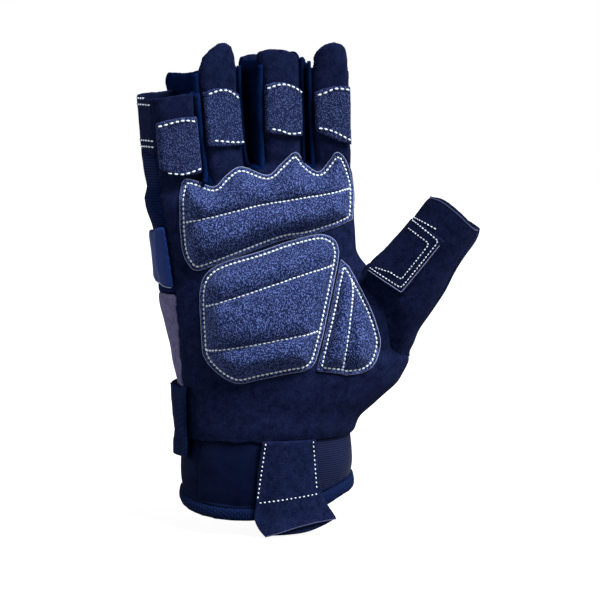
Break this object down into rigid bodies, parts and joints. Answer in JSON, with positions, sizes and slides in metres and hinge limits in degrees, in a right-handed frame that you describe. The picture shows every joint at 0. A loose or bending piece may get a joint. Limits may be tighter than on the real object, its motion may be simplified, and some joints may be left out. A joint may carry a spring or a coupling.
{
  "type": "fitness glove",
  "caption": "Right-hand fingerless fitness glove with a quilted padded palm, grained finger patches, an open thumb tube, a wrist cuff and strap, and a pull tab.",
  "frame": {"origin": "centre of the wrist opening, level with the lowest point of the cuff's front rim", "axes": "+Z along the forearm to the fingertips, -Y out of the palm, +X towards the thumb"},
  "size_m": [0.152, 0.0669, 0.2195],
  "materials": {
    "suede": "dark navy synthetic suede",
    "side_suede": "grey-navy synthetic suede",
    "stretch": "finely ribbed stretch fabric",
    "neoprene": "smooth navy neoprene with a slight sheen",
    "grained": "mid-blue textile with a fine woven grain",
    "guard_rubber": "smooth blue-navy rubber",
    "tape": "textured dark teal-navy tape"
  },
  "bodies": {
    "root": {"palm_panel": "suede", "thumb_front": "suede", "thumb_patch": "suede", "pull_tab": "suede", "suede_back": "side_suede", "pinky_back": "side_suede", "ring_back": "side_suede", "middle_back": "side_suede", "index_back": "side_suede", "stretch_back": "stretch", "thumb_back": "stretch", "cuff_elastic": "stretch", "gusset_pinky_ring": "neoprene", "gusset_ring_middle": "neoprene", "gusset_middle_index": "neoprene", "cuff_front": "neoprene", "cuff_back": "neoprene", "wrist_strap": "neoprene", "upper_palm_pad": "grained", "lower_palm_pad": "grained", "thumb_base_pad": "grained", "pinky_patch": "grained", "ring_patch": "grained", "middle_patch": "grained", "index_patch": "grained", "side_guard": "guard_rubber", "strap_binding": "tape", "cuff_binding": "tape"}
  },
  "joints": []
}
